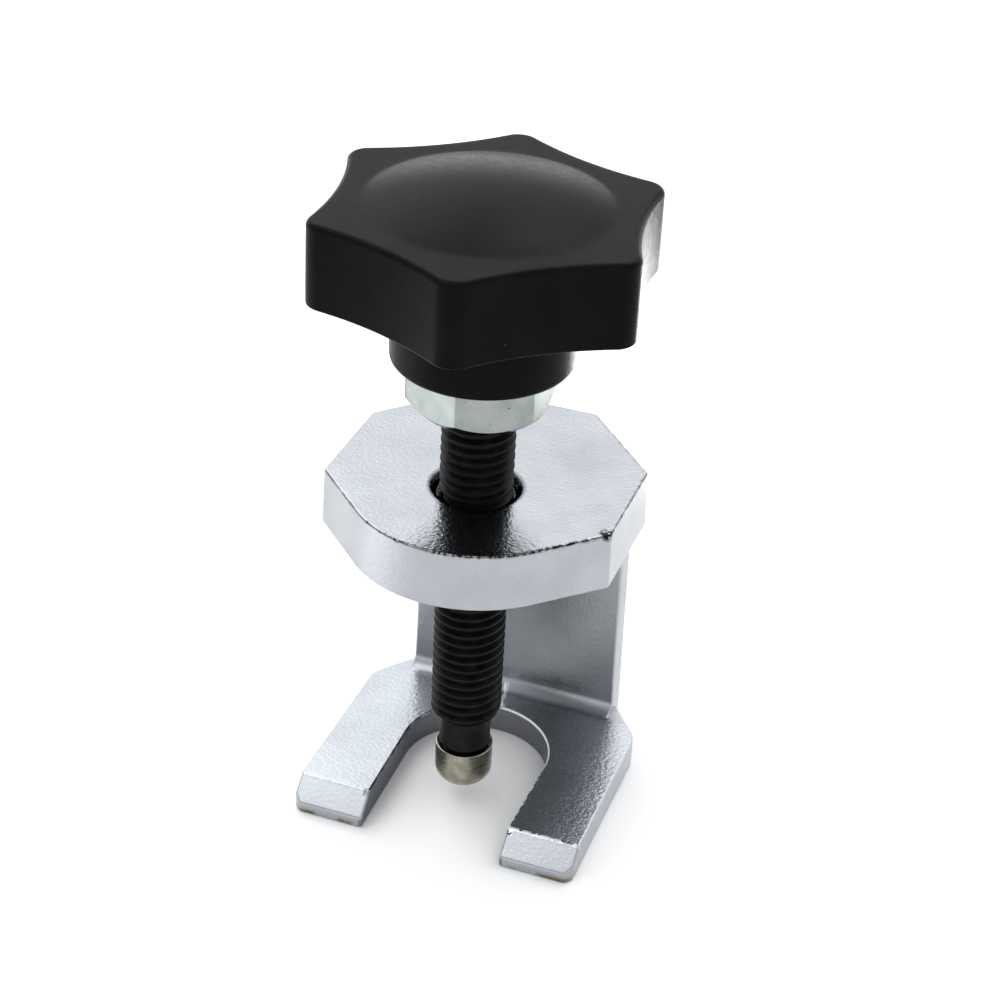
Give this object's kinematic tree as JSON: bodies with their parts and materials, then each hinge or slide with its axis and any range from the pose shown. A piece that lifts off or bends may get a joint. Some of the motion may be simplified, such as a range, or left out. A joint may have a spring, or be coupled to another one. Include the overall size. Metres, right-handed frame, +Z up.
{
  "type": "ball joint separator",
  "caption": "Small screw-type ball joint separator: a forged C-shaped yoke with a slotted fork, and a star-knob forcing screw that ends in a swivelling pressure cap.",
  "frame": {"origin": "middle of the part's box in x and y, on the fork's underside; the screw's axis is at x = 0, y = -0.00122", "axes": "+Z up along the screw, +Y from the fork's open end towards the back web, +X to the right seen from the open end"},
  "size_m": [0.0532, 0.0584, 0.1155],
  "materials": {
    "forged_zinc": "bright zinc plate over a forged skin",
    "bright_zinc": "bright zinc plate with a faint green tint",
    "black_oxide": "black oxide, lightly oiled",
    "nickel_plate": "worn nickel plate",
    "spring_steel": "oiled spring steel",
    "bearing_steel": "polished",
    "brass": "turned brass",
    "black_plastic": "satin moulded plastic"
  },
  "bodies": {
    "frame": {"yoke": "forged_zinc"},
    "carriage": {"retaining_ring": "spring_steel", "thrust_ball": "bearing_steel"},
    "screw": {"forcing_screw": "black_oxide", "lock_nut": "bright_zinc", "knob_insert": "brass", "knob": "black_plastic"},
    "cap": {"pressure_cap": "nickel_plate"}
  },
  "joints": [
    {"name": "screw_travel", "type": "slide", "parent": "frame", "child": "carriage", "axis": [0, 0, 1], "range_m": [-0.01471, 0.03326]},
    {"name": "screw_turn", "type": "hinge", "parent": "carriage", "child": "screw", "pos_m": [0, -0.00122, 0.05], "axis": [0, 0, 1], "range_deg": [-3024, 6840]},
    {"name": "cap_swivel", "type": "hinge", "parent": "carriage", "child": "cap", "pos_m": [0, -0.00122, 0.0075], "axis": [0, 0, 1], "continuous": true}
  ],
  "couplings": [
    {"joint": "screw_travel", "follows": "screw_turn", "m_per_rad": 0.00027852}
  ]
}
